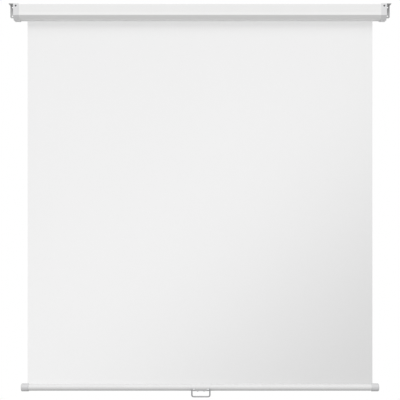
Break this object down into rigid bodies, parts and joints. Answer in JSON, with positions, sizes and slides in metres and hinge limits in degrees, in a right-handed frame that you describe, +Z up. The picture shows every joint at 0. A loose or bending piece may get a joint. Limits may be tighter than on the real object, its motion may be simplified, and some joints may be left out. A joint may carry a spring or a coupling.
{
  "type": "pull-down projection screen",
  "caption": "Manual pull-down projection screen: a white sheet on a spring roller in a slim case, with a weighted bottom bar, a wire pull handle and wall or ceiling brackets.",
  "frame": {"origin": "centre of the four wall-fixing holes, on the wall", "axes": "+X along the roller to the right as seen from the room, +Y into the wall, +Z up; the sheet is drawn fully down"},
  "size_m": [1.768, 0.0692, 1.8192],
  "materials": {
    "case_lacquer": "white semi-matt powder coat on folded steel sheet",
    "cap_plastic": "light grey moulded plastic, fine matt grain",
    "bracket_zinc": "dull passivated zinc plate on bent steel strip",
    "zinc_screw": "bright zinc plate",
    "grey_screw": "grey phosphate",
    "roller_metal": "mill-finish extruded tube",
    "screen_fabric": "matt white coated glass-fibre cloth",
    "spline_plastic": "extruded plastic cord",
    "plug_plastic": "glass-filled moulding",
    "slide_plastic": "natural acetal",
    "pin_steel": "drawn steel bar, zinc plated",
    "yellow_zinc": "yellow-passivated zinc",
    "spring_steel": "oiled spring wire",
    "bar_lacquer": "white semi-matt lacquer on extruded tube",
    "bar_cap_plastic": "light grey moulded plastic",
    "handle_steel": "dull nickel-plated wire",
    "plate_steel": "dull zinc-plated strip"
  },
  "bodies": {
    "case": {"case_shell": "case_lacquer", "end_cap_left": "cap_plastic", "end_cap_right": "cap_plastic", "case_screws": "zinc_screw", "wall_bracket_left": "bracket_zinc", "wall_bracket_right": "bracket_zinc", "bracket_lock_screws": "grey_screw", "spade_pin": "pin_steel", "ratchet_wheel": "yellow_zinc", "thrust_washer": "slide_plastic", "spring_rod": "pin_steel", "cross_pins": "zinc_screw", "spring_collar": "yellow_zinc", "idle_bush": "slide_plastic", "screen_sheet": "screen_fabric"},
    "roller": {"roller_tube": "roller_metal", "sheet_spline": "spline_plastic", "wound_sheet": "screen_fabric", "spring_head": "plug_plastic", "pawl_pins": "zinc_screw", "torsion_spring": "spring_steel", "rod_bearing": "slide_plastic", "idle_plug": "plug_plastic", "gudgeon_pin": "pin_steel"},
    "upper_pawl": {"upper_pawl": "pin_steel"},
    "lower_pawl": {"lower_pawl": "pin_steel"},
    "bottom_bar": {"bottom_bar": "bar_lacquer", "hem_rod": "spline_plastic", "bar_cap_left": "bar_cap_plastic", "bar_cap_right": "bar_cap_plastic", "handle_plate": "plate_steel", "plate_screws": "zinc_screw"},
    "handle": {"pull_handle": "handle_steel"}
  },
  "joints": [
    {"name": "screen_slide", "type": "slide", "parent": "case", "child": "bottom_bar", "axis": [0, 0, 1], "range_m": [0, 1.6695], "deforming": ["screen_sheet"]},
    {"name": "roller_spin", "type": "hinge", "parent": "case", "child": "roller", "pos_m": [0, -0.039, -0.01], "axis": [1, 0, 0], "range_deg": [0, 4680.5]},
    {"name": "handle_swing", "type": "hinge", "parent": "bottom_bar", "child": "handle", "pos_m": [0.004, -0.03983, -1.75221], "axis": [1, 0, 0], "range_deg": [-120, 38]},
    {"name": "upper_pawl_swing", "type": "hinge", "parent": "roller", "child": "upper_pawl", "pos_m": [-0.8401, -0.03121, 0.00466], "axis": [1, 0, 0], "range_deg": [0, 38]},
    {"name": "lower_pawl_swing", "type": "hinge", "parent": "roller", "child": "lower_pawl", "pos_m": [-0.8401, -0.04679, -0.02466], "axis": [1, 0, 0], "range_deg": [0, 38]}
  ],
  "couplings": [
    {"joint": "roller_spin", "follows": "screen_slide", "rad_per_m": 48.926}
  ]
}
